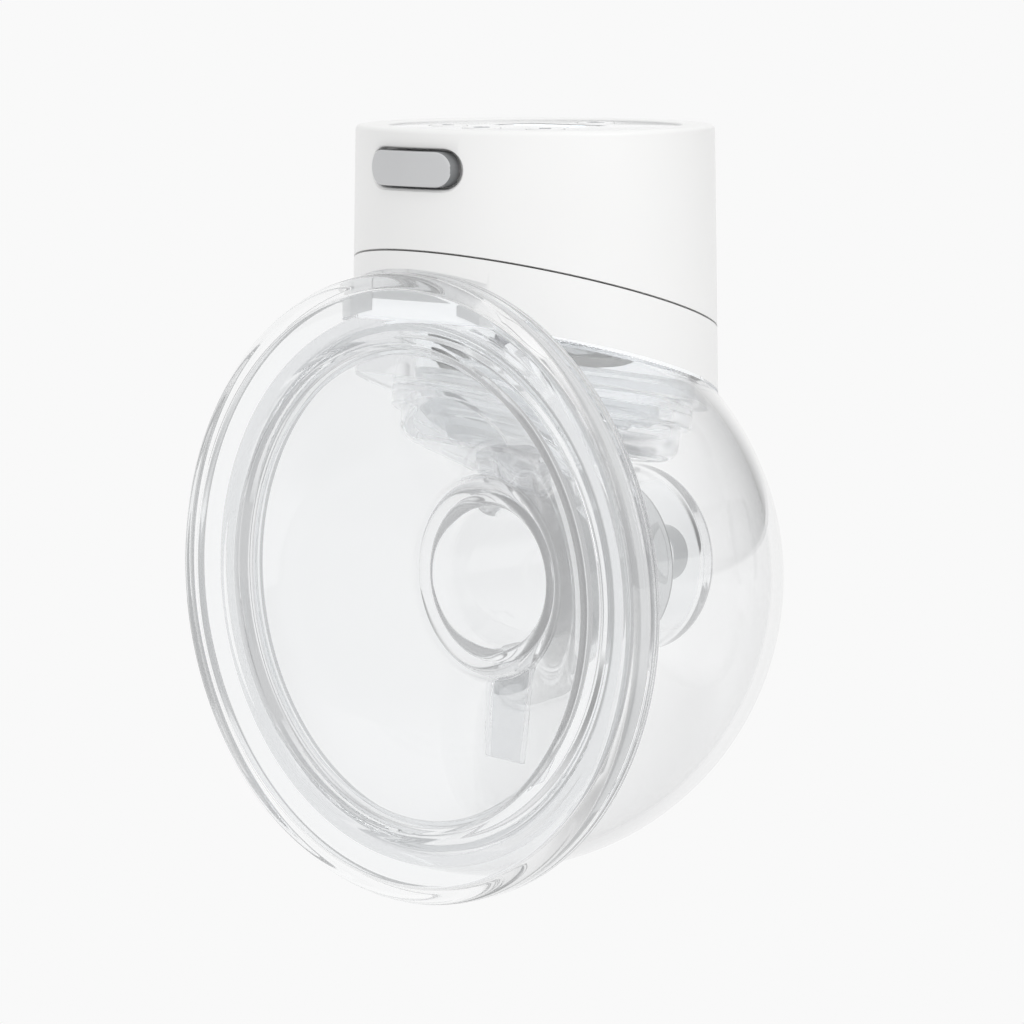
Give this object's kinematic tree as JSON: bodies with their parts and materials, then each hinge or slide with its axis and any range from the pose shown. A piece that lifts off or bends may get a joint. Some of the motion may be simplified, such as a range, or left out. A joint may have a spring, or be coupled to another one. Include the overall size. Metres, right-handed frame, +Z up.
{
  "type": "wearable breast pump",
  "caption": "Hands-free breast pump: clear bowl collector, silicone flange on a clear linker, suction chamber with diaphragm, and a round white motor unit on top.",
  "frame": {"origin": "centre of the flange rim on its flat sealing face, on the tunnel axis", "axes": "+Y from the wearer into the bowl along the tunnel axis, +Z up through the motor unit, +X to the side"},
  "size_m": [0.104, 0.0712, 0.1273],
  "materials": {
    "clear_bowl": "clear polished",
    "clear_linker": "clear polished",
    "clear_chamber": "clear polished",
    "silicone_flange": "clear soft silicone",
    "silicone_small": "milky soft silicone",
    "white_shell": "satin moulded",
    "grey_panel": "glossy",
    "dark_window": "glossy dark lens",
    "white_button": "soft touch",
    "grey_cover": "satin grey silicone",
    "board": "solder mask",
    "steel": "plated",
    "shell_metal": "bright stamped",
    "foil_cell": "matt pouch foil",
    "foam": "closed-cell foam",
    "dark_plastic": "moulded",
    "white_plastic": "moulded",
    "black_rubber": "matt"
  },
  "bodies": {
    "collector": {"collector_bowl": "clear_bowl", "pump_chamber": "clear_chamber"},
    "linker_body": {"linker": "clear_linker", "collector_seal": "silicone_small", "riser_gasket": "silicone_small"},
    "flange_body": {"flange": "silicone_flange"},
    "valve_body": {"duckbill_valve": "silicone_small"},
    "diaphragm_body": {"diaphragm": "silicone_small"},
    "membrane_body": {"membrane": "silicone_small"},
    "motor_unit": {"upper_housing": "white_shell", "lower_housing": "white_shell", "base_plate": "white_plastic", "housing_screws": "steel", "top_panel": "grey_panel", "display_window": "dark_window", "display_module": "dark_plastic", "main_pcb": "board", "pcb_screws": "steel", "dome_switches": "steel", "usb_port": "shell_metal", "battery": "foil_cell", "battery_foam": "foam", "pump_motor": "steel", "pump_head": "dark_plastic", "pump_cups": "black_rubber", "air_tube": "silicone_small", "motor_bracket": "white_plastic", "release_valve": "dark_plastic", "valve_spring": "steel"},
    "power_key": {"power_button": "white_button"},
    "minus_key": {"minus_button": "white_button"},
    "plus_key": {"plus_button": "white_button"},
    "mode_key": {"mode_button": "white_button"},
    "cover_body": {"port_cover": "grey_cover"},
    "rotor": {"motor_shaft": "steel", "eccentric": "white_plastic"},
    "rocker": {"pump_rocker": "white_plastic"},
    "plunger": {"valve_plunger": "steel"}
  },
  "joints": [
    {"name": "linker_pull", "type": "slide", "parent": "collector", "child": "linker_body", "axis": [0, -1, 0], "range_m": [0, 0.07]},
    {"name": "flange_peel", "type": "slide", "parent": "linker_body", "child": "flange_body", "axis": [0, -1, 0], "range_m": [0, 0.055]},
    {"name": "valve_pull", "type": "slide", "parent": "linker_body", "child": "valve_body", "axis": [0, 0, -1], "range_m": [0, 0.008], "stiffness_N_per_m": 30, "springref_m": -0.0006},
    {"name": "diaphragm_lift", "type": "slide", "parent": "collector", "child": "diaphragm_body", "axis": [0, 0.1822, 0.9833], "range_m": [0, 0.03]},
    {"name": "membrane_stroke", "type": "slide", "parent": "diaphragm_body", "child": "membrane_body", "axis": [0, 0.1822, 0.9833], "range_m": [0, 0.003], "stiffness_N_per_m": 200, "springref_m": -0.0005},
    {"name": "unit_lift", "type": "slide", "parent": "diaphragm_body", "child": "motor_unit", "axis": [0, 0.1822, 0.9833], "range_m": [0, 0.03]},
    {"name": "power_press", "type": "slide", "parent": "motor_unit", "child": "power_key", "axis": [0, 0, -1], "range_m": [0, 0.0005], "stiffness_N_per_m": 40, "springref_m": -0.0004},
    {"name": "minus_press", "type": "slide", "parent": "motor_unit", "child": "minus_key", "axis": [0, 0, -1], "range_m": [0, 0.0005], "stiffness_N_per_m": 40, "springref_m": -0.0004},
    {"name": "plus_press", "type": "slide", "parent": "motor_unit", "child": "plus_key", "axis": [0, 0, -1], "range_m": [0, 0.0005], "stiffness_N_per_m": 40, "springref_m": -0.0004},
    {"name": "mode_press", "type": "slide", "parent": "motor_unit", "child": "mode_key", "axis": [0, 0, -1], "range_m": [0, 0.0005], "stiffness_N_per_m": 40, "springref_m": -0.0004},
    {"name": "cover_hinge", "type": "hinge", "parent": "motor_unit", "child": "cover_body", "pos_m": [-0.0091, 0.0053, 0.0689], "axis": [0, 0, -1], "range_deg": [0, 70]},
    {"name": "rotor_spin", "type": "hinge", "parent": "motor_unit", "child": "rotor", "pos_m": [-0.006, 0.03, 0.0525], "axis": [1, 0, 0], "continuous": true},
    {"name": "rocker_swing", "type": "hinge", "parent": "motor_unit", "child": "rocker", "pos_m": [-0.015, 0.03, 0.0525], "axis": [0, 1, 0], "range_deg": [-4, 4], "stiffness_Nm_per_rad": 0.002},
    {"name": "valve_stroke", "type": "slide", "parent": "motor_unit", "child": "plunger", "axis": [0, 0, -1], "range_m": [0, 0.0012], "stiffness_N_per_m": 250, "springref_m": -0.001, "deforming": ["valve_spring"]}
  ]
}
